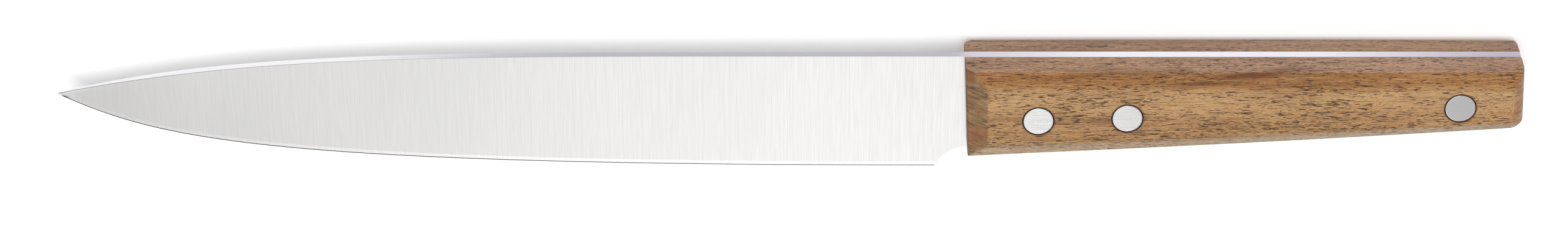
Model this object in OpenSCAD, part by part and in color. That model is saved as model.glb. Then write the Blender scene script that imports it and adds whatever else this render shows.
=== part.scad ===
/* [Blade] */
// Length of the blade from the tip to the front of the handle
blade_length = 200; // [160:1:260]
// Height of the blade from the spine to the cutting edge at the heel
blade_height = 28.4; // [26:0.1:36]
// How far the tip lies below the straight spine
tip_drop = 9.7; // [7:0.1:13]
// Length over which the spine falls to the tip
spine_fall_length = 149; // [110:1:155]
// Height of the blunt end of the tip
tip_height = 0.5; // [0.3:0.1:1]
// Thickness of the spine
spine_thickness = 2; // [1.6:0.1:2.4]
// Thickness of the spine at the tip
tip_thickness = 0.5; // [0.3:0.1:1]
// Length over which the spine thins to the tip
thinning_length = 32; // [15:1:60]
// Thickness behind the sharpened bevel
bevel_thickness = 0.4; // [0.2:0.05:0.8]
// Height of the sharpened bevel
bevel_height = 1.1; // [0.5:0.1:2]
// Distance from the heel of the cutting edge to the handle
heel_gap = 6.2; // [5:0.1:12]
// How far the centre of the hollow behind the heel lies past the front of the handle
choil_overrun = 2; // [0:0.1:4]

/* [Handle] */
// Length of the handle
handle_length = 123; // [110:0.5:150]
// Height of the handle at the blade
front_height = 23.2; // [21:0.1:25]
// Height of the handle at the butt
butt_height = 15.9; // [14:0.1:19]
// Thickness of the handle over both scales
handle_thickness = 18.5; // [16:0.1:24]
// Thickness of the tang
tang_thickness = 2.5; // [2.4:0.1:4]
// How far the underside bows out between its ends
underside_bow = 0.37; // [0:0.05:1]
// How far the front end leans back at the underside
front_lean = 0.95; // [0:0.1:2]
// How far the butt end falls back at the top from its longest place
butt_bow = 0.7; // [0.2:0.1:1.5]
// Depth of the longest place of the butt below the spine
butt_bow_depth = 10.5; // [7:0.1:12]
// Radius of the corner between the butt and the underside
butt_corner_radius = 3; // [1:0.1:5]
// How far the top and the underside of a scale fall away from the tang to their chamfers
face_fall = 0.45; // [0.1:0.05:0.8]
// Height of the chamfer along the top
top_chamfer_height = 3; // [1.5:0.1:4]
// Depth of the chamfer along the top
top_chamfer_depth = 1.75; // [1:0.05:3]
// Height of the chamfer along the underside
lower_chamfer_height = 3.9; // [1.5:0.1:4.5]
// Depth of the chamfer along the underside
lower_chamfer_depth = 3.75; // [1:0.05:4]
// Length of the bevel at the front end of a scale
front_bevel_length = 4.5; // [2:0.1:8]
// Depth of the bevel at the front end of a scale
front_bevel_depth = 4.5; // [2:0.1:5.5]
// Length of the steep start of the front bevel
front_bevel_start_length = 0.35; // [0.1:0.05:1]
// Depth of the steep start of the front bevel
front_bevel_start_depth = 1.4; // [0.5:0.1:1.8]
// Length of the rounding at the butt end of a scale
butt_round_length = 3.6; // [1:0.1:6]
// Depth of the rounding at the butt end of a scale
butt_round_depth = 5; // [1:0.1:5.5]

/* [Rivets] */
// Distance of the front rivet from the front of the handle
front_rivet_distance = 16.1; // [12:0.1:20]
// Distance of the middle rivet from the front of the handle
middle_rivet_distance = 35.6; // [30:0.1:60]
// Distance of the rear rivet from the butt
rear_rivet_distance = 14.6; // [12:0.1:25]
// Depth of the row of rivets below the spine at the front of the handle
rivet_row_front = 12.3; // [11:0.1:13]
// Depth of the row of rivets below the spine at the butt
rivet_row_butt = 8; // [7.5:0.1:8.5]
// Diameter of a rivet head
rivet_head_diameter = 6.7; // [6:0.1:8]
// Thickness of a rivet head
rivet_head_thickness = 2.5; // [1.5:0.1:3.5]
// Diameter of the barrel between the heads
rivet_barrel_diameter = 4.8; // [4.4:0.1:5.4]
// Diameter of the pin inside the barrel
rivet_pin_diameter = 3.2; // [2.4:0.1:3.6]
// Clearance round the heads and the barrel
rivet_clearance = 0.05; // [0.02:0.01:0.1]
// Depth of the space left beyond the end of a pin
pin_end_space = 0.6; // [0.2:0.1:1.5]

/* [Hidden] */

$fn = 96;
// Steps of the blade from the tip to the handle, closer together at the tip
blade_steps = 40;
blade_step_power = 1.7;
// Halvings that find a place on a curve
search_steps = 24;
// Steps of the bowed underside, of the butt and of each rounded corner
underside_steps = 10;
butt_steps = 8;
corner_steps = 6;
// Depth that a cutting shape reaches past the surface it cuts
overcut = 1;

overall_length = blade_length + handle_length;
tip_x = -overall_length / 2;
handle_x = tip_x + blade_length;
spine_y = blade_height / 2;
mid_z = handle_thickness / 2;
scale_thickness = (handle_thickness - tang_thickness) / 2;

// Spine and cutting edge as curves of four control points, from the tip
spine_tip_run = 38;
spine_tip_fall = 0.3;
spine_flat_start = 80;
edge_tip_run = 21.4;
edge_tip_rise = 7;
edge_flat_start = 41;
spine_curve = [
    [0, -tip_drop],
    [spine_tip_run, -spine_tip_fall],
    [spine_flat_start, 0],
    [spine_fall_length, 0]
];
edge_curve = [
    [0, -tip_drop - tip_height],
    [edge_tip_run, -blade_height + edge_tip_rise],
    [edge_flat_start, -blade_height],
    [blade_length - heel_gap, -blade_height]
];

function bezier(points, t) =
    pow(1 - t, 3) * points[0] + 3 * pow(1 - t, 2) * t * points[1]
    + 3 * (1 - t) * pow(t, 2) * points[2] + pow(t, 3) * points[3];

// Place on a curve at a given distance from the tip, found by halving
function curve_place(points, x, low = 0, high = 1, steps = search_steps) =
    steps == 0 ? (low + high) / 2
    : bezier(points, (low + high) / 2)[0] < x
        ? curve_place(points, x, (low + high) / 2, high, steps - 1)
        : curve_place(points, x, low, (low + high) / 2, steps - 1);

// Level of a curve at a given distance from the tip, straight past its last point
function curve_level(points, x) =
    x >= points[3][0] ? points[3][1]
    : x <= 0 ? points[0][1]
    : bezier(points, curve_place(points, x))[1];

function thickness_at(x) =
    x >= thinning_length ? spine_thickness
    : tip_thickness + (spine_thickness - tip_thickness) * sin(90 * x / thinning_length);

// One section of the blade: spine, shoulder of the bevel, edge, shoulder, spine
function blade_section(x) =
    let (
        top = curve_level(spine_curve, x),
        bottom = curve_level(edge_curve, x),
        bevel = min(bevel_height, (top - bottom) / 3),
        half_spine = thickness_at(x) / 2,
        half_bevel = min(bevel_thickness, thickness_at(x) * 0.8) / 2
    )
    [
        [x, top, -half_spine],
        [x, bottom + bevel, -half_bevel],
        [x, bottom, 0],
        [x, bottom + bevel, half_bevel],
        [x, top, half_spine]
    ];

section_points = 5;
blade_end = blade_length + overcut;
blade_points = [
    for (i = [0 : blade_steps])
        each blade_section(blade_end * pow(i / blade_steps, blade_step_power))
];
last_section = blade_steps * section_points;
blade_faces = concat(
    [
        for (i = [0 : blade_steps - 1], j = [0 : section_points - 1])
            let (
                a = i * section_points + j,
                b = i * section_points + (j + 1) % section_points
            )
            each [[a, b, a + section_points], [b, b + section_points, a + section_points]]
    ],
    [[for (j = [0 : section_points - 1]) section_points - 1 - j]],
    [[for (j = [0 : section_points - 1]) last_section + j]]
);

// Depth of the underside below the spine, at a distance from the front of the handle
function underside_depth(x) =
    let (share = x / handle_length)
    front_height + (butt_height - front_height) * share + 4 * underside_bow * share * (1 - share);

// Length of the handle at a depth below the spine, where the butt bows out
function butt_end(depth) = handle_length - butt_bow * pow(depth / butt_bow_depth - 1, 2);

butt_corner_depth = underside_depth(handle_length - butt_corner_radius) - butt_corner_radius;
underside_end = butt_end(butt_corner_depth) - butt_corner_radius;

// Outline of the handle from the side, from the top of its front end
handle_outline = concat(
    [[0, 0]],
    [
        for (i = [0 : butt_steps])
            let (depth = butt_corner_depth * i / butt_steps)
            [butt_end(depth), -depth]
    ],
    [
        for (i = [1 : corner_steps])
            let (angle = -90 * i / corner_steps)
            [
                underside_end + butt_corner_radius * cos(angle),
                -butt_corner_depth + butt_corner_radius * sin(angle)
            ]
    ],
    [
        for (i = [1 : underside_steps])
            let (x = underside_end + (front_lean - underside_end) * i / underside_steps)
            [x, -underside_depth(x)]
    ]
);

// Outline of a scale from above: front bevel, outer face, rounded butt
scale_plan = concat(
    [
        [-overcut, 0],
        [-overcut, scale_thickness - front_bevel_depth],
        [0, scale_thickness - front_bevel_depth],
        [
            front_bevel_start_length,
            scale_thickness - front_bevel_depth + front_bevel_start_depth
        ],
        [front_bevel_length, scale_thickness]
    ],
    [
        for (i = [0 : corner_steps])
            let (angle = 90 - 90 * i / corner_steps)
            [
                handle_length - butt_round_length + butt_round_length * cos(angle),
                scale_thickness - butt_round_depth + butt_round_depth * sin(angle)
            ]
    ],
    [[handle_length + overcut, scale_thickness - butt_round_depth], [handle_length + overcut, 0]]
);

// Section of a scale: top that falls to its chamfer, then the outer face
scale_section = [
    [0, 0],
    [-face_fall, scale_thickness - top_chamfer_depth],
    [-face_fall - top_chamfer_height, scale_thickness],
    [-front_height - overcut, scale_thickness],
    [-front_height - overcut, 0]
];

rivet_distances = [
    front_rivet_distance,
    middle_rivet_distance,
    handle_length - rear_rivet_distance
];
function rivet_depth(x) = rivet_row_front + (rivet_row_butt - rivet_row_front) * x / handle_length;

module at_handle() {
    translate([handle_x, spine_y, mid_z]) children();
}

module at_rivet(distance) {
    at_handle() translate([distance, -rivet_depth(distance), 0]) children();
}

module handle_side(thickness) {
    linear_extrude(height = thickness) polygon(handle_outline);
}

// Hollow behind the heel: an arc from the end of the cutting edge to the underside of the handle's front
neck_depth = underside_depth(front_lean);
choil_reach = pow(heel_gap, 2) + 2 * heel_gap * choil_overrun;
choil_depth = (choil_reach / (blade_height - neck_depth) + blade_height + neck_depth) / 2;
choil_radius = norm([choil_overrun, choil_depth - neck_depth]);

module choil_cut() {
    cut_thickness = tang_thickness + 2 * overcut;
    translate([blade_length + choil_overrun, -choil_depth, 0])
        cylinder(h = cut_thickness, r = choil_radius, center = true);
    translate([blade_length, -neck_depth - choil_radius, -cut_thickness / 2])
        cube([choil_radius, choil_radius, cut_thickness]);
}

module blade() {
    color([0.86, 0.87, 0.88])
    difference() {
        union() {
            translate([tip_x, spine_y, mid_z])
            difference() {
                polyhedron(points = blade_points, faces = blade_faces, convexity = 4);
                choil_cut();
            }
            at_handle() translate([0, 0, -tang_thickness / 2]) handle_side(tang_thickness);
        }
        for (distance = rivet_distances)
            at_rivet(distance)
                cylinder(
                    h = tang_thickness + 2 * overcut,
                    d = rivet_barrel_diameter + 2 * rivet_clearance,
                    center = true
                );
    }
}

// Cuts everything below a plane that runs with the taper of the underside: the plane passes a level above
// the underside at a height in the scale, and rises by a number of degrees towards the outer face
module underside_cut(level, height, rise) {
    taper = atan2(front_height - butt_height, handle_length);
    reach = front_height;
    translate([0, -front_height + level, height])
    rotate([0, 0, taper])
    rotate([90 - rise, 0, 0])
    translate([-handle_length / 2, -2 * reach, 0])
        cube([2 * handle_length, 4 * reach, reach]);
}

lower_corner_height = scale_thickness - lower_chamfer_depth;

module rivet_hole() {
    cylinder(
        h = handle_thickness,
        d = rivet_barrel_diameter + 2 * rivet_clearance,
        center = true
    );
    translate([0, 0, scale_thickness - rivet_head_thickness])
        cylinder(
            h = rivet_head_thickness + overcut,
            d = rivet_head_diameter + 2 * rivet_clearance
        );
}

// One scale, with its inner face on the level z = 0 and its outer face above
module wooden_scale() {
    difference() {
        intersection() {
            handle_side(scale_thickness);
            rotate([90, 0, 0])
            translate([0, 0, -overcut])
                linear_extrude(height = front_height + 2 * overcut) polygon(scale_plan);
            translate([-overcut, 0, 0])
            rotate([90, 0, 90])
                linear_extrude(height = handle_length + 2 * overcut) polygon(scale_section);
        }
        underside_cut(0, 0, atan2(face_fall, lower_corner_height));
        underside_cut(face_fall, lower_corner_height, atan2(lower_chamfer_height, lower_chamfer_depth));
        for (distance = rivet_distances)
            translate([distance, -rivet_depth(distance), 0]) rivet_hole();
    }
}

module left_scale() {
    color([0.70, 0.56, 0.41])
        at_handle() translate([0, 0, tang_thickness / 2]) wooden_scale();
}

module right_scale() {
    color([0.68, 0.54, 0.39])
        at_handle() mirror([0, 0, 1]) translate([0, 0, tang_thickness / 2]) wooden_scale();
}

// The barrel lies between the head of its own end and the head of the pin
barrel_length = handle_thickness - 2 * rivet_head_thickness - rivet_clearance;
pin_length = barrel_length - pin_end_space;

module rivet_barrel(distance) {
    color([0.80, 0.80, 0.79])
    at_rivet(distance)
    translate([0, 0, -mid_z])
    difference() {
        union() {
            cylinder(h = rivet_head_thickness, d = rivet_head_diameter);
            translate([0, 0, rivet_head_thickness])
                cylinder(h = barrel_length, d = rivet_barrel_diameter);
        }
        translate([0, 0, rivet_head_thickness])
            cylinder(h = barrel_length + overcut, d = rivet_pin_diameter + 2 * rivet_clearance);
    }
}

module rivet_pin(distance) {
    color([0.88, 0.88, 0.87])
    at_rivet(distance)
    translate([0, 0, mid_z - rivet_head_thickness]) {
        cylinder(h = rivet_head_thickness, d = rivet_head_diameter);
        translate([0, 0, -pin_length])
            cylinder(h = pin_length, d = rivet_pin_diameter);
    }
}

blade();
left_scale();
right_scale();
rivet_barrel(rivet_distances[0]);  // front_rivet_barrel
rivet_pin(rivet_distances[0]);  // front_rivet_pin
rivet_barrel(rivet_distances[1]);  // middle_rivet_barrel
rivet_pin(rivet_distances[1]);  // middle_rivet_pin
rivet_barrel(rivet_distances[2]);  // rear_rivet_barrel
rivet_pin(rivet_distances[2]);  // rear_rivet_pin
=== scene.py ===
import math

import bmesh
import bpy
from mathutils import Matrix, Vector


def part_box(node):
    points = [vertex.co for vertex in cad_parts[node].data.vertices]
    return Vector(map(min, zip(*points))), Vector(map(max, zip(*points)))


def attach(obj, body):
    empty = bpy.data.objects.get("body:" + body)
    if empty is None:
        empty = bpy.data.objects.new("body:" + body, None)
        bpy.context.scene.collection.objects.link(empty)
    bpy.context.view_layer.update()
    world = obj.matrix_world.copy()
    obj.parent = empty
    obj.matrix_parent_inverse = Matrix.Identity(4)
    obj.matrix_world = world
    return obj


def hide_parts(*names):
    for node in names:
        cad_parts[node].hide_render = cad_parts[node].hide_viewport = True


MM = 0.001

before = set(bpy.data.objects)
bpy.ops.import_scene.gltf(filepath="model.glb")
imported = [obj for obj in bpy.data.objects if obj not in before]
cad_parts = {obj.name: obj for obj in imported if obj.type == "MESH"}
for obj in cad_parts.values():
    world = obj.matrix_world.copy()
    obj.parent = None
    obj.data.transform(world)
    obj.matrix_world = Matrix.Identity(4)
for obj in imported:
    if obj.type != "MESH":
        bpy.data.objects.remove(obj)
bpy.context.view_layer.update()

# Places read from the frame
blade_low, blade_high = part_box("blade")
scale_low, scale_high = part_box("left_scale")
TIP_X = blade_low[0]
BUTT_X = blade_high[0]
SPINE_Y = blade_high[1]
HANDLE_X = scale_low[0]
MID_Z = (blade_low[2] + blade_high[2]) / 2
TANG_HALF = (blade_high[2] - blade_low[2]) / 2
HANDLE_HALF = scale_high[2] - MID_Z
BLADE_LENGTH = HANDLE_X - TIP_X
HANDLE_LENGTH = BUTT_X - HANDLE_X
BLADE_HEIGHT = blade_high[1] - blade_low[1]
RIVETS = ("front", "middle", "rear")


def rivet_centre(name):
    low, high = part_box(name + "_rivet_pin")
    return (low[0] + high[0]) / 2, (low[1] + high[1]) / 2


RIVET_CENTRES = [rivet_centre(name) for name in RIVETS]
head_low, head_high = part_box("front_rivet_pin")
HEAD_RADIUS = (head_high[0] - head_low[0]) / 2

# Sizes of the blade, as in the construction
TIP_DROP = 9.7 * MM
TIP_HEIGHT = 0.5 * MM
SPINE_HALF = 1.0 * MM
TIP_HALF = 0.25 * MM
THINNING_LENGTH = 32 * MM
BEVEL_HEIGHT = 1.1 * MM
BEVEL_HALF = 0.2 * MM
MICRO_HEIGHT = 0.28 * MM
MICRO_HALF = 0.11 * MM
EDGE_HALF = 0.012 * MM
HEEL_GAP = 6.2 * MM
CHOIL_OVERRUN = 2 * MM
SPINE_SOFTNESS = 0.16 * MM
CHOIL_SOFTNESS = 0.08 * MM
CHOIL_EDGE_SHARE = 0.75
NECK_LENGTH = 3 * MM
# Near the tip the bevel takes these shares of the section
BEVEL_HEIGHT_SHARE = 1 / 3
BEVEL_HALF_SHARE = 0.8
MICRO_HEIGHT_SHARE = 0.5
MICRO_HALF_SHARE = 0.6
# Points down one side of a section, and the room left below them
SIDE_STEPS = 8
SIDE_END_GAP = 0.25 * MM
ROUND_ANGLES = (math.pi / 6, math.pi / 3, math.pi / 2)
# Places round a half section that keep a hard edge: under the spine, the shoulder, the micro bevel, the edge
SHARP_PLACES = (4, 12, 13, 14)
SPINE_CURVE = (
    (0, -TIP_DROP),
    (38 * MM, -0.3 * MM),
    (80 * MM, 0),
    (149 * MM, 0),
)
EDGE_CURVE = (
    (0, -TIP_DROP - TIP_HEIGHT),
    (21.4 * MM, -BLADE_HEIGHT + 7 * MM),
    (41 * MM, -BLADE_HEIGHT),
    (BLADE_LENGTH - HEEL_GAP, -BLADE_HEIGHT),
)

# Sizes of the handle, as in the construction
FRONT_HEIGHT = 23.2 * MM
BUTT_HEIGHT = 15.9 * MM
UNDERSIDE_BOW = 0.37 * MM
FRONT_LEAN = 0.95 * MM
BUTT_BOW = 0.7 * MM
BUTT_BOW_DEPTH = 10.5 * MM
BUTT_CORNER = 3 * MM
TOP_CORNER = 0.5 * MM
FACE_FALL = 0.45 * MM
EDGE_SOFTNESS = 0.35 * MM
SEAM_SOFTNESS = 0.12 * MM
FRONT_SOFTNESS = 0.25 * MM
BUTT_ROUND_LENGTH = 3.6 * MM
BUTT_ROUND_DEPTH = 5 * MM
TANG_SOFTNESS = 0.12 * MM
LEAN_FADE = 12 * MM
BOW_FADE = 10 * MM
# Bevel at the front of a scale: its depth, its slope, and the steep start before it
FRONT_BEVEL_DEPTH = 4.55 * MM
FRONT_BEVEL_SLOPE = 0.76
FRONT_START_DEPTH = 1.05 * MM
FRONT_START_LENGTH = 0.15 * MM
FRONT_BEVEL_SOFTNESS = 0.25 * MM
# Section of a scale: reach of its top and its underside, and the chamfers' heights at the front and the butt
TOP_HALF = 7.5 * MM
TOP_HALF_NARROWING = 1.2 * MM
TOP_WIDEST_SHARE = 0.45
LOW_HALF = 5.5 * MM
TOP_CHAMFER = (3.4 * MM, 2.45 * MM)
LOW_CHAMFER = (4.35 * MM, 3.45 * MM)
FALL_POWER = 1.6
TOP_EDGE_ROUNDING = 1.6
LOW_EDGE_ROUNDING = 2.4
LEAST_FACE = 0.02 * MM


def mix(low, high, share):
    return low + (high - low) * share


def clamp(value, low=0.0, high=1.0):
    return max(low, min(high, value))


def smooth(low, high, value):
    share = clamp((value - low) / (high - low))
    return share * share * (3 - 2 * share)


# Curves of the blade

def bezier(points, t, axis):
    s = 1 - t
    return (
        s ** 3 * points[0][axis]
        + 3 * s * s * t * points[1][axis]
        + 3 * s * t * t * points[2][axis]
        + t ** 3 * points[3][axis]
    )


def curve_level(points, x):
    if x >= points[3][0]:
        return points[3][1]
    low, high = 0.0, 1.0
    for _ in range(30):
        middle = (low + high) / 2
        if bezier(points, middle, 0) < x:
            low = middle
        else:
            high = middle
    return bezier(points, low, 1)


def underside_depth(x):
    share = x / HANDLE_LENGTH
    return mix(FRONT_HEIGHT, BUTT_HEIGHT, share) + 4 * UNDERSIDE_BOW * share * (1 - share)


NECK_DEPTH = underside_depth(FRONT_LEAN)
CHOIL_REACH = HEEL_GAP ** 2 + 2 * HEEL_GAP * CHOIL_OVERRUN
CHOIL_DEPTH = (CHOIL_REACH / (BLADE_HEIGHT - NECK_DEPTH) + BLADE_HEIGHT + NECK_DEPTH) / 2
CHOIL_RADIUS = math.hypot(CHOIL_OVERRUN, CHOIL_DEPTH - NECK_DEPTH)
HEEL_X = BLADE_LENGTH - HEEL_GAP


def spine_half(x):
    share = clamp(x / THINNING_LENGTH)
    return mix(TIP_HALF, SPINE_HALF, math.sin(share * math.pi / 2))


def blade_half_section(x):
    """Half of the blade's section, from the spine to the edge, as (level, half thickness)."""
    top = curve_level(SPINE_CURVE, x)
    edge = curve_level(EDGE_CURVE, x)
    full = spine_half(x)
    bevel = min(BEVEL_HEIGHT, (top - edge) * BEVEL_HEIGHT_SHARE)
    bevel_half = min(BEVEL_HALF, full * BEVEL_HALF_SHARE)
    shoulder = edge + bevel
    micro = edge + min(MICRO_HEIGHT, bevel * MICRO_HEIGHT_SHARE)
    micro_half = min(MICRO_HALF, bevel_half * MICRO_HALF_SHARE)
    soft = min(SPINE_SOFTNESS, full / 2)

    def half_at(level):
        if level < micro:
            return mix(EDGE_HALF, micro_half, clamp((level - edge) / (micro - edge)))
        if level < shoulder:
            return mix(micro_half, bevel_half, (level - micro) / (shoulder - micro))
        return mix(full, bevel_half, clamp((top - level) / (top - shoulder)))

    bottom = edge
    if x > HEEL_X:
        reach = BLADE_LENGTH + CHOIL_OVERRUN - x
        bottom = -CHOIL_DEPTH + math.sqrt(CHOIL_RADIUS ** 2 - reach ** 2)
        bottom = max(bottom, edge)
    points = [(top, 0.0), (top, full - soft)]
    points += [
        (top - soft * (1 - math.cos(angle)), full - soft * (1 - math.sin(angle)))
        for angle in ROUND_ANGLES
    ]
    side_start = top - soft
    side_end = max(shoulder, bottom + SIDE_END_GAP)
    for i in range(1, SIDE_STEPS + 1):
        level = mix(side_start, side_end, i / SIDE_STEPS)
        points.append((level, half_at(level)))
    foot = max(micro, bottom + CHOIL_SOFTNESS)
    last_half = half_at(bottom) * (CHOIL_EDGE_SHARE if bottom > shoulder else 1.0)
    points += [(foot, half_at(foot)), (bottom, last_half), (bottom, 0.0)]
    return points


def tang_half_section(x):
    """Half of the tang's section behind the front of the handle, with as many points as the blade's."""
    top, bottom = handle_levels(x)
    soft = TANG_SOFTNESS
    points = [(top, 0.0), (top, TANG_HALF - soft)]
    points += [
        (top - soft * (1 - math.cos(angle)), TANG_HALF - soft * (1 - math.sin(angle)))
        for angle in ROUND_ANGLES
    ]
    points += [
        (mix(top - soft, bottom + soft, i / SIDE_STEPS), TANG_HALF) for i in range(1, SIDE_STEPS + 1)
    ]
    points += [(bottom + soft / 3, TANG_HALF - soft / 3), (bottom, TANG_HALF - soft), (bottom, 0.0)]
    return points


def handle_levels(x):
    """Top and bottom of the handle's outline, with both corners of the butt rounded."""
    end = HANDLE_LENGTH
    top = 0.0
    bottom = -underside_depth(min(x, end - BUTT_CORNER))
    into_top = clamp((x - (end - TOP_CORNER)) / TOP_CORNER)
    into_corner = clamp((x - (end - BUTT_CORNER)) / BUTT_CORNER)
    top -= TOP_CORNER * (1 - math.sqrt(1 - into_top ** 2))
    bottom += BUTT_CORNER * (1 - math.sqrt(1 - into_corner ** 2))
    return top, bottom


def handle_shift(x, level):
    """How far a point of the handle moves along its length: lean of the front, bow of the butt."""
    lean = FRONT_LEAN * clamp(-level / FRONT_HEIGHT) * (1 - smooth(0, LEAN_FADE, x))
    near_butt = smooth(HANDLE_LENGTH - BOW_FADE, HANDLE_LENGTH, x)
    bow = BUTT_BOW * (min(-level, BUTT_HEIGHT) / BUTT_BOW_DEPTH - 1) ** 2 * near_butt
    return lean - bow


def steps_between(start, end, count, power_start=1.0):
    return [mix(start, end, (i / count) ** power_start) for i in range(count + 1)]


def butt_steps(length, count):
    """Places that close in on the end of the handle, as on a quarter circle."""
    return [
        HANDLE_LENGTH - length * (1 - math.sin(math.pi / 2 * i / count)) for i in range(1, count + 1)
    ]


def loft(name, rings, sharp_lines=(), sharp_rings=()):
    """A closed mesh through rings of equally many points, with hard edges along some lines and some rings."""
    mesh = bpy.data.meshes.new(name)
    work = bmesh.new()
    rows = [[work.verts.new(point) for point in ring] for ring in rings]
    count = len(rings[0])
    for lower, upper in zip(rows, rows[1:]):
        for i in range(count):
            j = (i + 1) % count
            work.faces.new((lower[i], lower[j], upper[j], upper[i]))
    work.faces.new(rows[0][::-1])
    work.faces.new(rows[-1])
    bmesh.ops.recalc_face_normals(work, faces=work.faces)
    for face in work.faces:
        face.smooth = True
    for lower, upper in zip(rows, rows[1:]):
        for place in sharp_lines:
            edge = work.edges.get((lower[place], upper[place]))
            if edge:
                edge.smooth = False
    for row in [rows[0], rows[-1]] + [rows[place] for place in sharp_rings]:
        for i in range(count):
            edge = work.edges.get((row[i], row[(i + 1) % count]))
            if edge:
                edge.smooth = False
    work.to_mesh(mesh)
    work.free()
    piece = bpy.data.objects.new(name, mesh)
    bpy.context.scene.collection.objects.link(piece)
    return piece


def mirrored_ring(x_of, half_points):
    near = [(x_of(level), SPINE_Y + level, MID_Z + half) for level, half in half_points]
    far = [(x_of(level), SPINE_Y + level, MID_Z - half) for level, half in half_points[-2:0:-1]]
    return near + far


def neck_shift(x, level):
    """The last of the blade leans with the front of the handle."""
    lean = FRONT_LEAN * clamp(-level / FRONT_HEIGHT)
    return lean * smooth(BLADE_LENGTH - NECK_LENGTH, BLADE_LENGTH, x)


# Stations along the blade: closer together at the tip, then even, then round the hollow behind the heel
TIP_ZONE = 60 * MM
TIP_STEPS = 60
TIP_STEP_POWER = 1.8
BODY_STEPS = 60
CHOIL_STEPS = 28
# Stations along the tang and the scales: even up to the last stretch, then on to the rounded end
LAST_STRETCH = 10 * MM
LAST_START = 9 * MM
TANG_START = 0.02 * MM
TANG_STEPS = 24
TANG_LAST_STEPS = 6
TANG_CORNER_START = 3.2 * MM
TANG_CORNER_STEPS = 14


def make_blade():
    rings = []
    stations = steps_between(0, TIP_ZONE, TIP_STEPS, TIP_STEP_POWER)
    stations += steps_between(TIP_ZONE, HEEL_X, BODY_STEPS)[1:]
    stations += [
        BLADE_LENGTH - HEEL_GAP * math.cos(math.pi / 2 * i / CHOIL_STEPS)
        for i in range(1, CHOIL_STEPS + 1)
    ]
    for x in stations:
        rings.append(
            mirrored_ring(lambda level, x=x: TIP_X + x + neck_shift(x, level), blade_half_section(x))
        )
    handle_stations = steps_between(TANG_START, HANDLE_LENGTH - LAST_STRETCH, TANG_STEPS)
    handle_stations += steps_between(
        HANDLE_LENGTH - LAST_START, HANDLE_LENGTH - TANG_CORNER_START, TANG_LAST_STEPS
    )
    handle_stations += butt_steps(BUTT_CORNER, TANG_CORNER_STEPS)
    for x in handle_stations:
        rings.append(
            mirrored_ring(
                lambda level, x=x: HANDLE_X + x + handle_shift(x, level), tang_half_section(x)
            )
        )
    ring_count = 2 * len(blade_half_section(0)) - 2
    sharp = list(SHARP_PLACES) + [ring_count - place for place in SHARP_PLACES]
    return loft("blade_and_tang", rings, sharp, (len(stations) - 1, len(stations)))


# The wooden scales

SAME_PLACE = 1e-9
# Most of a side that the rounding of one corner takes up
CORNER_SHARE = 0.45


def corner_arc(before, corner, after, radius, steps=4):
    """Points that round one corner of a section."""
    def toward(target):
        dx, dy = target[0] - corner[0], target[1] - corner[1]
        length = math.hypot(dx, dy)
        if length < SAME_PLACE:
            return corner
        reach = min(radius, length * CORNER_SHARE)
        return corner[0] + dx / length * reach, corner[1] + dy / length * reach

    start, end = toward(before), toward(after)
    points = []
    for i in range(steps + 1):
        t = i / steps
        points.append(tuple(
            (1 - t) ** 2 * start[k] + 2 * t * (1 - t) * corner[k] + t * t * end[k] for k in (0, 1)
        ))
    return points


def scale_reach(x):
    """Half thickness of the handle at a distance from its front, seen from above."""
    start = FRONT_START_DEPTH * math.exp(-x / FRONT_START_LENGTH)
    front = TANG_HALF + FRONT_BEVEL_DEPTH + FRONT_BEVEL_SLOPE * x - start
    softness = FRONT_BEVEL_SOFTNESS
    reach = -softness * math.log(math.exp(-front / softness) + math.exp(-HANDLE_HALF / softness))
    into = clamp((x - (HANDLE_LENGTH - BUTT_ROUND_LENGTH)) / BUTT_ROUND_LENGTH)
    return reach - BUTT_ROUND_DEPTH * (1 - math.sqrt(1 - into ** 2))


def scale_section(x):
    """Rounded section of one scale as (level, half thickness)."""
    share = x / HANDLE_LENGTH
    top, bottom = handle_levels(x)
    ease = FRONT_SOFTNESS - math.sqrt(
        FRONT_SOFTNESS ** 2 - clamp(FRONT_SOFTNESS - x, 0, FRONT_SOFTNESS) ** 2
    )
    top -= ease
    bottom += ease
    reach = scale_reach(x)
    top_half = TOP_HALF - TOP_HALF_NARROWING * (share - TOP_WIDEST_SHARE) ** 2
    top_chamfer = mix(*TOP_CHAMFER, share)
    low_chamfer = mix(*LOW_CHAMFER, share)

    def fall(half, width):
        return FACE_FALL * clamp((half - TANG_HALF) / (width - TANG_HALF)) ** FALL_POWER

    def top_level(half):
        slope = max(half - top_half, 0) / (HANDLE_HALF - top_half)
        return top - fall(half, top_half) - top_chamfer * slope

    def low_level(half):
        slope = max(half - LOW_HALF, 0) / (HANDLE_HALF - LOW_HALF)
        return bottom + fall(half, LOW_HALF) + low_chamfer * slope

    first = min(top_half, reach - LEAST_FACE)
    last = min(LOW_HALF, reach - LEAST_FACE)
    middle = mix(TANG_HALF, first, 0.5)
    low_middle = mix(TANG_HALF, last, 0.5)
    corners = [
        ((top_level(TANG_HALF), TANG_HALF), SEAM_SOFTNESS),
        ((top_level(middle), middle), EDGE_SOFTNESS),
        ((top_level(first), first), EDGE_SOFTNESS),
        ((top_level(reach), reach), EDGE_SOFTNESS * TOP_EDGE_ROUNDING),
        ((low_level(reach), reach), EDGE_SOFTNESS * LOW_EDGE_ROUNDING),
        ((low_level(last), last), EDGE_SOFTNESS),
        ((low_level(low_middle), low_middle), EDGE_SOFTNESS),
        ((bottom, TANG_HALF), SEAM_SOFTNESS),
    ]
    points = []
    for i, (corner, radius) in enumerate(corners):
        before = corners[i - 1][0]
        after = corners[(i + 1) % len(corners)][0]
        points += corner_arc(before, corner, after, radius)
    return points


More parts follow.
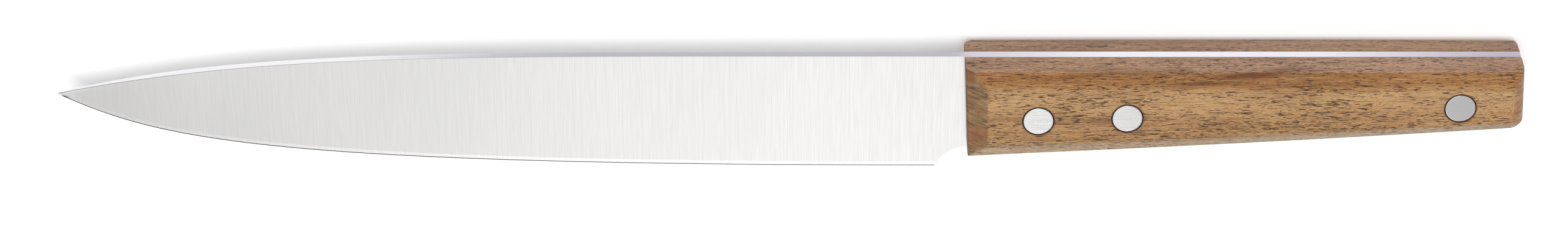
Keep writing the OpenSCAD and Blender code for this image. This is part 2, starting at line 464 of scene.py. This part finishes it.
# Stations along a scale, in millimetres at its front end, and then as stretches of even steps
FRONT_STATIONS = (0, 0.03, 0.07, 0.12, 0.18, 0.25, 0.35, 0.5, 0.7, 0.95)
BEVEL_STRETCH = (1.25 * MM, 6 * MM)
BEVEL_STEPS = 22
BODY_START = 7 * MM
SCALE_STEPS = 40
SCALE_LAST_END = 3.8 * MM
SCALE_LAST_STEPS = 8
SCALE_ROUND_STEPS = 26


def make_scale(name, side):
    stations = [value * MM for value in FRONT_STATIONS]
    stations += steps_between(*BEVEL_STRETCH, BEVEL_STEPS)
    stations += steps_between(BODY_START, HANDLE_LENGTH - LAST_STRETCH, SCALE_STEPS)
    stations += steps_between(
        HANDLE_LENGTH - LAST_START, HANDLE_LENGTH - SCALE_LAST_END, SCALE_LAST_STEPS
    )
    stations += butt_steps(BUTT_ROUND_LENGTH, SCALE_ROUND_STEPS)
    rings = []
    for x in stations:
        rings.append([
            (HANDLE_X + x + handle_shift(x, level), SPINE_Y + level, MID_Z + side * half)
            for level, half in scale_section(x)
        ])
    return loft(name, rings)


LATHE_STEPS = 72
LATHE_SHARP_ANGLE = math.radians(35)


def lathe(name, profile, centre, side):
    """A turned piece about the thickness of the handle; profile is (radius, height above the middle)."""
    rings = []
    for radius, height in profile:
        rings.append([
            (
                centre[0] + radius * math.cos(2 * math.pi * i / LATHE_STEPS),
                centre[1] + radius * math.sin(2 * math.pi * i / LATHE_STEPS),
                MID_Z + side * height,
            )
            for i in range(LATHE_STEPS)
        ])
    piece = loft(name, rings)
    piece.data.set_sharp_from_angle(angle=LATHE_SHARP_ANGLE)
    return piece


HEAD_THICKNESS = 2.5 * MM
RIM_SOFTNESS = 0.14 * MM
HEAD_SINK = 0.01 * MM
BARREL_RADIUS = 2.4 * MM
PIN_RADIUS = 1.6 * MM
PIN_END_SPACE = 0.6 * MM
CLEARANCE = 0.05 * MM
SEAM_GAP = 0.15 * MM
# Radii of the rings that carry the flat end of a piece, as shares of its own
FACE_RING = 0.5
MIDDLE_RING = 0.02
SHANK_RING = 0.05
HOLE_SEGMENTS = 96
SCALE_SHARP_ANGLE = math.radians(40)


def head_profile(shank_radius):
    """Rivet head from its shank to the middle of its outer face."""
    face = HANDLE_HALF - HEAD_SINK
    inner = HANDLE_HALF - HEAD_THICKNESS
    radius = HEAD_RADIUS - CLEARANCE
    rim = ((0.0, 1.0), (0.3, 0.3), (1.0, 0.0), (1.5, 0.0))
    points = [(shank_radius, inner), (radius, inner)]
    points += [(radius - RIM_SOFTNESS * inward, face - RIM_SOFTNESS * down) for inward, down in rim]
    return points + [(HEAD_RADIUS * FACE_RING, face), (HEAD_RADIUS * MIDDLE_RING, face)]


def make_rivet(name, centre):
    inner = HANDLE_HALF - HEAD_THICKNESS
    pin = lathe(
        name + "_pin_turned",
        [
            (PIN_RADIUS * SHANK_RING, -inner + PIN_END_SPACE),
            (PIN_RADIUS, -inner + PIN_END_SPACE),
        ]
        + head_profile(PIN_RADIUS),
        centre,
        1,
    )
    mouth = -inner + CLEARANCE
    barrel = lathe(
        name + "_barrel_turned",
        [
            (PIN_RADIUS * SHANK_RING, inner),
            (PIN_RADIUS + CLEARANCE, inner),
            (PIN_RADIUS + CLEARANCE, mouth),
            (BARREL_RADIUS, mouth),
        ]
        + head_profile(BARREL_RADIUS),
        centre,
        -1,
    )
    return barrel, pin


def drill(piece, radius):
    """Cuts the rivet holes through a piece and keeps the result as its mesh."""
    work = bmesh.new()
    for centre in RIVET_CENTRES:
        made = bmesh.ops.create_cone(
            work,
            segments=HOLE_SEGMENTS,
            radius1=radius,
            radius2=radius,
            depth=4 * HANDLE_HALF,
            cap_ends=True,
        )
        bmesh.ops.translate(work, verts=made["verts"], vec=(centre[0], centre[1], MID_Z))
    mesh = bpy.data.meshes.new("drill")
    work.to_mesh(mesh)
    work.free()
    cutter = bpy.data.objects.new("drill", mesh)
    bpy.context.scene.collection.objects.link(cutter)
    modifier = piece.modifiers.new("holes", "BOOLEAN")
    modifier.operation = "DIFFERENCE"
    modifier.solver = "EXACT"
    modifier.object = cutter
    bpy.context.view_layer.update()
    solved = piece.evaluated_get(bpy.context.evaluated_depsgraph_get())
    cut = bpy.data.meshes.new_from_object(solved)
    piece.modifiers.clear()
    piece.data = cut
    bpy.data.objects.remove(cutter)
    bpy.data.meshes.remove(mesh)


# Materials

def linear(red, green, blue):
    """Colour in linear light from display values of 0 to 255."""
    def channel(value):
        share = value / 255
        return share / 12.92 if share <= 0.04045 else ((share + 0.055) / 1.055) ** 2.4
    return channel(red), channel(green), channel(blue), 1.0


def shades(*rows):
    """Ramp stops from rows of a place and the three values of a display colour."""
    return [(row[0], linear(*row[1:])) for row in rows]


def fill_ramp(ramp, stops):
    """Sets the two stops that a new ramp has, and adds the ones between them."""
    first, last = ramp.elements
    first.position, first.color = stops[0]
    last.position, last.color = stops[-1]
    for place, colour in stops[1:-1]:
        ramp.elements.new(place).color = colour


class Graph:
    """Short helpers that build one material's nodes."""

    def __init__(self, name, seed=0.0):
        self.seed = seed
        self.material = bpy.data.materials.new(name)
        self.material.use_nodes = True
        self.tree = self.material.node_tree
        self.shader = self.tree.nodes["Principled BSDF"]
        self.place = self.tree.nodes.new("ShaderNodeTexCoord").outputs["Object"]
        self.facing = self.tree.nodes.new("ShaderNodeTexCoord").outputs["Normal"]

    def link(self, value, socket):
        if isinstance(value, bpy.types.NodeSocket):
            self.tree.links.new(value, socket)
        else:
            socket.default_value = value

    def math(self, operation, a, b=0.0, c=0.0):
        node = self.tree.nodes.new("ShaderNodeMath")
        node.operation = operation
        for value, socket in zip((a, b, c), node.inputs):
            self.link(value, socket)
        return node.outputs[0]

    def split(self, vector):
        node = self.tree.nodes.new("ShaderNodeSeparateXYZ")
        self.link(vector, node.inputs[0])
        return node.outputs[0], node.outputs[1], node.outputs[2]

    def step(self, value, low, high, out_low=0.0, out_high=1.0):
        node = self.tree.nodes.new("ShaderNodeMapRange")
        node.interpolation_type = "SMOOTHSTEP"
        for item, socket in zip((value, low, high, out_low, out_high), node.inputs[:5]):
            self.link(item, socket)
        return node.outputs[0]

    def scaled(self, scale, offset=(0, 0, 0), vector=None):
        node = self.tree.nodes.new("ShaderNodeMapping")
        self.link(vector or self.place, node.inputs["Vector"])
        node.inputs["Scale"].default_value = scale
        node.inputs["Location"].default_value = offset
        return node.outputs[0]

    def noise(self, scale, detail=2.0, offset=(0, 0, 0), distortion=0.0, roughness=0.5, vector=None):
        node = self.tree.nodes.new("ShaderNodeTexNoise")
        self.link(self.scaled(scale, offset, vector), node.inputs["Vector"])
        node.inputs["Scale"].default_value = 1.0
        node.inputs["Detail"].default_value = detail
        node.inputs["Roughness"].default_value = roughness
        node.inputs["Distortion"].default_value = distortion
        return node.outputs["Fac"]

    def seeded(self, scale, detail, place, distortion=0.0, roughness=0.5):
        """A texture whose place along x is the seed."""
        return self.noise(scale, detail, (self.seed, *place), distortion, roughness)

    def blend(self, share, first, second, kind="MIX"):
        node = self.tree.nodes.new("ShaderNodeMix")
        node.data_type = "RGBA"
        node.blend_type = kind
        self.link(share, node.inputs[0])
        self.link(first, node.inputs[6])
        self.link(second, node.inputs[7])
        return node.outputs[2]

    def ramp(self, value, stops):
        node = self.tree.nodes.new("ShaderNodeValToRGB")
        self.link(value, node.inputs[0])
        fill_ramp(node.color_ramp, stops)
        return node.outputs[0]

    def weighted(self, first, second, share):
        """The sum of two textures, the first with the given share."""
        return self.math(
            "ADD", self.math("MULTIPLY", first, share), self.math("MULTIPLY", second, 1 - share)
        )

    def centred(self, value, width):
        """A texture of 0 to 1 turned into a distance to both sides of zero."""
        return self.math("MULTIPLY", self.math("SUBTRACT", value, 0.5), width)

    def distance(self, first, second):
        squares = [self.math("POWER", side, 2.0) for side in (first, second)]
        return self.math("SQRT", self.math("ADD", *squares))

    def bump(self, height, strength, distance):
        node = self.tree.nodes.new("ShaderNodeBump")
        node.inputs["Strength"].default_value = strength
        node.inputs["Distance"].default_value = distance
        self.link(height, node.inputs["Height"])
        self.link(node.outputs[0], self.shader.inputs["Normal"])

    def finish(self, colour, roughness, metallic=0.0):
        self.link(colour, self.shader.inputs["Base Color"])
        self.link(roughness, self.shader.inputs["Roughness"])
        self.shader.inputs["Metallic"].default_value = metallic
        return self.material


# A texture is given in the order of Graph.noise: its features to a metre along x, y and z, its detail, its
# place, its distortion and its roughness
STEEL_FINE = ((9500, 120, 120), 3.0)
STEEL_WIDE = ((1700, 16, 16), 2.0, (3, 7, 1))
STEEL_SOFT = ((45, 20, 20), 2.0, (9, 2, 4))
STEEL_FINE_SHARE = 0.75
STEEL_SHADES = shades((0.25, 232, 231, 231), (0.5, 240, 239, 238), (0.75, 246, 245, 244))
STEEL_CLOUD = linear(232, 231, 232)
STEEL_CLOUD_STEP = (0.35, 0.75, 0.0, 0.3)
STEEL_ROUGHNESS_STEP = (0.3, 0.7, 0.22, 0.19)
STEEL_BUMP = (0.04, 0.00001)
# The ground spine and the tang's edge, along the knife: painted reflection and shade, pale at the tip, darker
# over the rear of the blade, a painted highlight on the tang's edge, and darker again towards the butt
SPINE_FACING = (0.55, 0.85)
SPINE_PAINTED_REFLECTION = shades(
    (0.0, 232, 231, 232),
    (0.2, 234, 234, 236),
    (0.30, 190, 189, 194),
    (0.36, 178, 176, 184),
    (0.612, 180, 178, 188),
    (0.625, 206, 203, 212),
    (0.72, 236, 235, 242),
    (0.86, 232, 231, 238),
    (0.93, 206, 201, 211),
    (0.985, 184, 177, 190),
)


def steel_material():
    graph = Graph("satin_steel")
    fine = graph.noise(*STEEL_FINE)
    lines = graph.weighted(fine, graph.noise(*STEEL_WIDE), STEEL_FINE_SHARE)
    cloud = graph.step(graph.noise(*STEEL_SOFT), *STEEL_CLOUD_STEP)
    colour = graph.blend(cloud, graph.ramp(lines, STEEL_SHADES), STEEL_CLOUD)
    # Painted reflection and highlight on faces turned to the spine side, set by the place along the knife
    spine = graph.step(graph.split(graph.facing)[1], *SPINE_FACING)
    along = graph.math("SUBTRACT", graph.split(graph.place)[0], TIP_X)
    share = graph.math("MULTIPLY", along, 1 / (BUTT_X - TIP_X))
    colour = graph.blend(spine, colour, graph.ramp(share, SPINE_PAINTED_REFLECTION))
    graph.bump(fine, *STEEL_BUMP)
    return graph.finish(colour, graph.step(lines, *STEEL_ROUGHNESS_STEP), 1.0)


RIVET_FINE = ((300, 5200, 300), 3.0)
RIVET_CROSS = ((2400, 2400, 900), 2.0, (5, 1, 2))
RIVET_FINE_SHARE = 0.65
RIVET_SHADES = shades((0.3, 232, 231, 230), (0.7, 246, 245, 245))
RIVET_ROUGHNESS_STEP = (0.3, 0.7, 0.24, 0.18)
RIVET_BUMP = (0.05, 0.00001)


def rivet_material():
    graph = Graph("satin_rivet")
    lines = graph.weighted(graph.noise(*RIVET_FINE), graph.noise(*RIVET_CROSS), RIVET_FINE_SHARE)
    graph.bump(lines, *RIVET_BUMP)
    return graph.finish(
        graph.ramp(lines, RIVET_SHADES), graph.step(lines, *RIVET_ROUGHNESS_STEP), 1.0
    )


# Wood: colours by the depth below the spine, as a share of the front's height, which drift along the handle;
# the wood's own tone on the side, with painted shade darkening the top chamfer and painted light paling the
# lower chamfer
SIDE_TONES_AND_SHADE = shades(
    (0.0, 158, 108, 58),
    (0.12, 164, 114, 64),
    (0.20, 194, 156, 110),
    (0.36, 192, 152, 106),
    (0.58, 184, 142, 96),
    (0.80, 188, 150, 106),
    (1.0, 194, 165, 128),
)
# Textures of the wood, in the same order as before, with the seed in front of the two values of the place
DRIFT = ((14, 60, 60), 2.0, (3, 5))
SLOW = ((26, 150, 120), 2.0, (7, 7), 0.3)
BANDS = ((13, 560, 300), 5.0, (11, 2), 0.35, 0.65)
FIBRES = ((170, 4200, 3200), 4.0, (1, 9), 0.1, 0.6)
CROWD = ((40, 420, 420), 2.0, (4, 4))
SPECK = ((1300, 7600, 7600), 1.0, (6, 13))
DASH = ((560, 4300, 4300), 1.0, (8, 3))
SWAY = ((55, 160, 160), 2.0, (2, 2))
STRANDS = ((26, 900, 500), 3.0, (9, 1), 0.2)
WAVER = ((900, 1600, 1600), 2.0, (3, 3))
LAYERS = ((240, 1500, 260), 4.0, (6, 1), 0.3, 0.7)
PATCHES = ((160, 260, 160), 1.0, (5, 8))
DRIFT_SHARE = 0.10
# Painted shade on faces turned to the spine side, darker on the right scale, which lies nearest the floor,
# and painted light on the underside
TOP_FACING = (0.72, 0.95)
LOW_FACING = (-0.3, -0.7)
LOW_PAINTED_LIGHT = linear(198, 170, 136)
LEFT_TOP_PAINTED_SHADE = linear(188, 147, 118)
RIGHT_TOP_PAINTED_SHADE = linear(170, 132, 104)
LEFT_SEED, RIGHT_SEED = 2.0, 7.0
LEFT_STREAKS, RIGHT_STREAKS = 1.0, 0.15
# Layers of tone over the base, each as a step of its texture, a strength and a colour
SLOW_TONES = (
    ((0.5, 0.72, 0.0, 0.45), linear(150, 110, 72)),
    ((0.5, 0.3, 0.0, 0.35), linear(198, 154, 98)),
)
BAND_TONES = (
    ((0.50, 0.68, 0.0, 0.55), linear(130, 92, 56)),
    ((0.46, 0.30, 0.0, 0.45), linear(206, 170, 122)),
)
FIBRE_TONES = (
    ((0.5, 0.72, 0.0, 0.5), linear(118, 82, 50)),
    ((0.5, 0.28, 0.0, 0.40), linear(220, 186, 142)),
)
# Pores: the limit falls where they crowd; then the softness of their ends, the strength and the colour
SPECKS = ((0.3, 0.7, 0.62, 0.54), 0.03, 0.55, linear(104, 66, 38))
DASHES = ((0.3, 0.7, 0.64, 0.55), 0.025, 0.85, linear(72, 42, 24))
# Dark streaks: start, end, place round the section at the start, rise, half width, strength
STREAKS = (
    (41 * MM, 80 * MM, 13.6 * MM, 0.215, 1.5 * MM, 0.85),
    (52 * MM, 92 * MM, 9.6 * MM, 0.10, 0.8 * MM, 0.45),
    (8 * MM, 52 * MM, 10.9 * MM, 0.105, 0.9 * MM, 0.45),
)
STREAK_COLOUR = linear(106, 60, 34)
STREAK_SWAY = 3.2 * MM
STREAK_EDGES = (1.5, 0.3)
STREAK_ENDS = (0.35, 0.7)
STRANDS_STEP = (0.35, 0.62, 0.25, 1.0)
# Small knots and stains: distance along, place round the section, radius, strength
KNOTS = (
    (47.4 * MM, 7.1 * MM, 0.7 * MM, 0.9),
    (97.8 * MM, 23.0 * MM, 1.3 * MM, 0.6),
    (92.0 * MM, 24.6 * MM, 0.7 * MM, 0.4),
    (39.4 * MM, 22.0 * MM, 0.5 * MM, 0.9),
)
KNOT_COLOUR = linear(92, 50, 30)
KNOT_WAVER = 1.4 * MM
KNOT_HEART = 0.3
# How fast the place round the section grows with the depth, against the thickness
ROUND_RATE = 1.1
# Darker ring in the wood round each rivet head: its width, strength and colour
RIVET_DARK_RING = 0.5 * MM
RIVET_DARK_RING_STRENGTH = 0.75
RIVET_DARK_RING_COLOUR = linear(84, 54, 34)
# Painted shade along the seam between scale and tang: its width, its core, strength and colour
SEAM_PAINTED_SHADE = 0.22 * MM
SEAM_CORE = 0.05 * MM
SEAM_PAINTED_SHADE_STRENGTH = 0.8
SEAM_PAINTED_SHADE_COLOUR = linear(92, 66, 48)
# End grain, dark with rusty patches at the front and paler at the butt
FRONT_FACING = (-0.12, -0.42)
BUTT_FACING = (0.2, 0.62)
FRONT_SHADES = shades((0.34, 66, 46, 32), (0.47, 132, 102, 70), (0.66, 172, 140, 102))
BUTT_SHADES = shades((0.32, 114, 76, 50), (0.5, 158, 114, 80), (0.68, 184, 140, 104))
PATCH_STEP = (0.48, 0.66, 0.0, 0.5)
PATCH_COLOUR = linear(146, 84, 42)
FRONT_END_STRENGTH = 0.85
BUTT_END_STRENGTH = 0.8
FIBRE_RELIEF = 0.3
WOOD_BUMP = (0.3, 0.00007)
WOOD_ROUGHNESS_STEP = (0.2, 0.8, 0.46, 0.62)


def toned(graph, texture, colour, tones):
    for step, tone in tones:
        colour = graph.blend(graph.step(texture, *step), colour, tone)
    return colour


def wood_pores(graph, texture, crowd, limit_step, softness):
    limit = graph.step(crowd, *limit_step)
    return graph.step(graph.math("SUBTRACT", texture, limit), 0.0, softness)


def wood_streaks(graph, colour, along, round_place, share):
    """The dark streaks that rise through the top chamfer."""
    sway = graph.centred(graph.seeded(*SWAY), STREAK_SWAY)
    swayed = graph.math("ADD", round_place, sway)
    strands = graph.step(graph.seeded(*STRANDS), *STRANDS_STEP)
    for start, end, place, rise, half_width, strength in STREAKS:
        climb = graph.math("MULTIPLY", graph.math("SUBTRACT", along, start), -rise)
        middle = graph.math("ADD", climb, place)
        off = graph.math("ABSOLUTE", graph.math("SUBTRACT", swayed, middle))
        outside, inside = STREAK_EDGES
        band = graph.step(off, half_width * outside, half_width * inside)
        full_from, full_to = (mix(start, end, part) for part in STREAK_ENDS)
        reach = graph.math(
            "MULTIPLY", graph.step(along, start, full_from), graph.step(along, end, full_to)
        )
        streak = graph.math("MULTIPLY", graph.math("MULTIPLY", band, reach), strands)
        colour = graph.blend(graph.math("MULTIPLY", streak, strength * share), colour, STREAK_COLOUR)
    return colour


def wood_knots_rings_and_seam_shade(graph, colour, along, round_place, share):
    """Knots, darker rings round the rivets, and painted shade along the seam with the tang."""
    x, y, z = graph.split(graph.place)
    waver = graph.centred(graph.seeded(*WAVER), KNOT_WAVER)
    for place, around, radius, strength in KNOTS:
        across = graph.math("SUBTRACT", round_place, around)
        apart = graph.distance(graph.math("SUBTRACT", along, place), across)
        spot = graph.step(graph.math("ADD", apart, waver), radius, radius * KNOT_HEART)
        colour = graph.blend(graph.math("MULTIPLY", spot, strength * share), colour, KNOT_COLOUR)
    # Darker ring round each rivet head
    for centre in RIVET_CENTRES:
        apart = graph.distance(
            graph.math("SUBTRACT", x, centre[0]), graph.math("SUBTRACT", y, centre[1])
        )
        ring = graph.step(
            apart, HEAD_RADIUS + RIVET_DARK_RING, HEAD_RADIUS + SEAM_GAP, 0.0, RIVET_DARK_RING_STRENGTH
        )
        colour = graph.blend(ring, colour, RIVET_DARK_RING_COLOUR)
    # Painted shade along the seam between the scale and the tang
    aside = graph.math("ABSOLUTE", graph.math("SUBTRACT", z, MID_Z))
    seam = graph.step(
        aside, TANG_HALF + SEAM_PAINTED_SHADE, TANG_HALF + SEAM_CORE, 0.0, SEAM_PAINTED_SHADE_STRENGTH
    )
    return graph.blend(seam, colour, SEAM_PAINTED_SHADE_COLOUR)


def wood_ends(graph, colour):
    """End grain, where the surface turns to either end of the handle."""
    turned = graph.split(graph.facing)[0]
    layers = graph.seeded(*LAYERS)
    patches = graph.step(graph.seeded(*PATCHES), *PATCH_STEP)
    front_colour = graph.blend(patches, graph.ramp(layers, FRONT_SHADES), PATCH_COLOUR)
    front = graph.math("MULTIPLY", graph.step(turned, *FRONT_FACING), FRONT_END_STRENGTH)
    colour = graph.blend(front, colour, front_colour)
    butt = graph.math("MULTIPLY", graph.step(turned, *BUTT_FACING), BUTT_END_STRENGTH)
    return graph.blend(butt, colour, graph.ramp(layers, BUTT_SHADES))


def wood_material(name, seed, share, top_painted_shade):
    """Oiled wood; the seed moves its textures, the share is the strength of streaks and knots, and the top
    colour is a painted shade.
    """
    graph = Graph(name, seed)
    x, y, z = graph.split(graph.place)
    upward = graph.split(graph.facing)[1]
    along = graph.math("SUBTRACT", x, HANDLE_X)
    level = graph.math("SUBTRACT", SPINE_Y, y)
    aside = graph.math("ABSOLUTE", graph.math("SUBTRACT", z, MID_Z))
    round_place = graph.math("ADD", aside, graph.math("MULTIPLY", level, ROUND_RATE))

    # Colours of the side and the chamfers, with painted shade and light by facet, then painted shade on the
    # top and painted light on the underside
    drift = graph.centred(graph.seeded(*DRIFT), DRIFT_SHARE)
    depth = graph.math("ADD", graph.math("MULTIPLY", level, 1 / FRONT_HEIGHT), drift)
    # The wood's own tone, with painted shade on the top chamfer and painted light on the lower chamfer
    colour = graph.ramp(depth, SIDE_TONES_AND_SHADE)
    # Painted shade on the top and painted light on the underside, by the way each face turns
    colour = graph.blend(graph.step(upward, *TOP_FACING), colour, top_painted_shade)
    colour = graph.blend(graph.step(upward, *LOW_FACING), colour, LOW_PAINTED_LIGHT)

    # Slow tones, bands and fibres along the length
    slow = graph.seeded(*SLOW)
    bands = graph.seeded(*BANDS)
    fibres = graph.seeded(*FIBRES)
    for texture, tones in ((slow, SLOW_TONES), (bands, BAND_TONES), (fibres, FIBRE_TONES)):
        colour = toned(graph, texture, colour, tones)

    # Pores: fine specks and long dashes, both in drifts
    crowd = graph.seeded(*CROWD)
    limit_step, softness, strength, pore_colour = SPECKS
    specks = wood_pores(graph, graph.seeded(*SPECK), crowd, limit_step, softness)
    colour = graph.blend(graph.math("MULTIPLY", specks, strength), colour, pore_colour)
    limit_step, softness, strength, pore_colour = DASHES
    dashes = wood_pores(graph, graph.seeded(*DASH), crowd, limit_step, softness)
    colour = graph.blend(graph.math("MULTIPLY", dashes, strength), colour, pore_colour)

    colour = wood_streaks(graph, colour, along, round_place, share)
    colour = wood_knots_rings_and_seam_shade(graph, colour, along, round_place, share)
    colour = wood_ends(graph, colour)
    graph.bump(graph.math("SUBTRACT", graph.math("MULTIPLY", fibres, FIBRE_RELIEF), dashes), *WOOD_BUMP)
    return graph.finish(colour, graph.step(fibres, *WOOD_ROUGHNESS_STEP))


# Floor, world, light and camera

WHITE = (1.0, 1.0, 1.0, 1.0)
FLOOR_COLOUR = (0.86, 0.86, 0.87, 1.0)
FLOOR_LIFT = 0.22
FLOOR_HALF = 6.0


def tree_math(tree, operation, a, b):
    node = tree.nodes.new("ShaderNodeMath")
    node.operation = operation
    for value, socket in zip((a, b), node.inputs):
        if isinstance(value, bpy.types.NodeSocket):
            tree.links.new(value, socket)
        else:
            socket.default_value = value
    return node.outputs[0]


def seen_directly(tree, *kinds):
    """Share that is 1 for rays of the given kinds."""
    paths = tree.nodes.new("ShaderNodeLightPath").outputs
    share = paths[kinds[0]]
    for kind in kinds[1:]:
        share = tree_math(tree, "MAXIMUM", share, paths[kind])
    return share


def make_floor():
    mesh = bpy.data.meshes.new("floor")
    corners = [(x * FLOOR_HALF, y * FLOOR_HALF, 0) for x, y in ((-1, -1), (1, -1), (1, 1), (-1, 1))]
    mesh.from_pydata(corners, [], [(0, 1, 2, 3)])
    floor = bpy.data.objects.new("floor", mesh)
    bpy.context.scene.collection.objects.link(floor)
    material = bpy.data.materials.new("floor")
    material.use_nodes = True
    tree = material.node_tree
    tree.nodes.clear()
    surface = tree.nodes.new("ShaderNodeBsdfDiffuse")
    surface.inputs["Color"].default_value = FLOOR_COLOUR
    glow = tree.nodes.new("ShaderNodeEmission")
    glow.inputs["Color"].default_value = WHITE
    seen = seen_directly(tree, "Is Camera Ray", "Is Glossy Ray", "Is Transmission Ray")
    tree.links.new(tree_math(tree, "MULTIPLY", seen, FLOOR_LIFT), glow.inputs["Strength"])
    both = tree.nodes.new("ShaderNodeAddShader")
    tree.links.new(surface.outputs[0], both.inputs[0])
    tree.links.new(glow.outputs[0], both.inputs[1])
    output = tree.nodes.new("ShaderNodeOutputMaterial")
    tree.links.new(both.outputs[0], output.inputs["Surface"])
    mesh.materials.append(material)


WORLD_LIGHT = 0.42
# What a gloss sees of the studio: its level by the direction along the knife, then by the one across it
STUDIO_ALONG = (
    (-0.45, 0.45),
    (-0.20, 0.58),
    (-0.15, 0.64),
    (-0.09, 0.80),
    (-0.04, 0.98),
    (0.02, 1.16),
    (0.07, 1.14),
    (0.115, 0.50),
    (0.22, 0.32),
    (0.6, 0.6),
)
STUDIO_ACROSS = (
    (-1.0, 0.85),
    (-0.97, 0.6),
    (-0.935, 0.10),
    (-0.87, 0.15),
    (-0.79, 0.9),
    (-0.70, 1.6),
    (-0.60, 1.15),
    (-0.50, 1.0),
    (-0.2, 0.95),
    (0.9, 0.95),
)
STUDIO_TOP = 2.0


def studio_ramp(tree, direction, stops):
    """Level of the studio along one axis of the direction, kept in 0 to 1 by dividing by its top."""
    place = tree.nodes.new("ShaderNodeMapRange")
    tree.links.new(direction, place.inputs["Value"])
    place.inputs["From Min"].default_value = -1.0
    ramp = tree.nodes.new("ShaderNodeValToRGB")
    tree.links.new(place.outputs[0], ramp.inputs[0])
    greys = [((way + 1) / 2, (level / STUDIO_TOP,) * 3 + (1.0,)) for way, level in stops]
    fill_ramp(ramp.color_ramp, greys)
    return ramp.outputs[0]


def make_world():
    world = bpy.data.worlds.new("studio")
    bpy.context.scene.world = world
    world.use_nodes = True
    tree = world.node_tree
    background = tree.nodes["Background"]
    background.inputs["Color"].default_value = WHITE
    parts = tree.nodes.new("ShaderNodeSeparateXYZ")
    tree.links.new(tree.nodes.new("ShaderNodeTexCoord").outputs["Generated"], parts.inputs[0])
    along = studio_ramp(tree, parts.outputs[0], STUDIO_ALONG)
    across = studio_ramp(tree, parts.outputs[1], STUDIO_ACROSS)
    studio = tree_math(tree, "MULTIPLY", tree_math(tree, "MULTIPLY", along, across), STUDIO_TOP ** 2)
    glossy = tree.nodes.new("ShaderNodeMix")
    tree.links.new(seen_directly(tree, "Is Glossy Ray"), glossy.inputs[0])
    glossy.inputs[2].default_value = WORLD_LIGHT
    tree.links.new(studio, glossy.inputs[3])
    level = tree.nodes.new("ShaderNodeMix")
    seen = seen_directly(tree, "Is Camera Ray", "Is Transmission Ray")
    tree.links.new(seen, level.inputs[0])
    tree.links.new(glossy.outputs[0], level.inputs[2])
    level.inputs[3].default_value = 1.0
    tree.links.new(level.outputs[0], background.inputs["Strength"])


KEY_POWER = 1.95
KEY_TILT = math.radians(14)
KEY_WIDTH = math.radians(32)


def make_key():
    """One wide soft lamp far above the knife, a little to the side of its spine."""
    lamp = bpy.data.lights.new("key", "SUN")
    lamp.energy = KEY_POWER
    lamp.angle = KEY_WIDTH
    piece = bpy.data.objects.new("key", lamp)
    piece.rotation_euler = (-KEY_TILT, 0, 0)
    piece.visible_glossy = False
    bpy.context.scene.collection.objects.link(piece)


CAMERA_TILT = math.radians(30)
CAMERA_DISTANCE = 960 * MM
CAMERA_LENS = 99.47
SENSOR_WIDTH = 36.0
VIEW_FROM_HANDLE = 39.7 * MM
VIEW_DROP = 15.57 * MM


def make_camera():
    """Looks at the blade's left side from the side of the spine, at the photograph's tilt."""
    camera = bpy.data.cameras.new("camera")
    camera.sensor_width = SENSOR_WIDTH
    camera.lens = CAMERA_LENS
    piece = bpy.data.objects.new("camera", camera)
    piece.location = (
        HANDLE_X - VIEW_FROM_HANDLE,
        SPINE_Y - VIEW_DROP + CAMERA_DISTANCE * math.sin(CAMERA_TILT),
        MID_Z + CAMERA_DISTANCE * math.cos(CAMERA_TILT),
    )
    piece.rotation_euler = (-CAMERA_TILT, 0, 0)
    bpy.context.scene.collection.objects.link(piece)
    bpy.context.scene.camera = piece


def dress(piece, material, node):
    piece.data.materials.clear()
    piece.data.materials.append(material)
    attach(piece, "root")
    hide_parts(node)


def main():
    steel = steel_material()
    metal = rivet_material()
    blade = make_blade()
    dress(blade, steel, "blade")
    left = make_scale("left_scale_shaped", 1)
    right = make_scale("right_scale_shaped", -1)
    for piece in (left, right):
        drill(piece, HEAD_RADIUS + SEAM_GAP)
        piece.data.set_sharp_from_angle(angle=SCALE_SHARP_ANGLE)
    left_wood = wood_material("left_wood", LEFT_SEED, LEFT_STREAKS, LEFT_TOP_PAINTED_SHADE)
    right_wood = wood_material("right_wood", RIGHT_SEED, RIGHT_STREAKS, RIGHT_TOP_PAINTED_SHADE)
    dress(left, left_wood, "left_scale")
    dress(right, right_wood, "right_scale")
    for name, centre in zip(RIVETS, RIVET_CENTRES):
        barrel, pin = make_rivet(name, centre)
        dress(barrel, metal, name + "_rivet_barrel")
        dress(pin, metal, name + "_rivet_pin")
    make_floor()
    make_world()
    make_key()
    make_camera()
    bpy.context.scene.view_settings.view_transform = "Standard"


main()
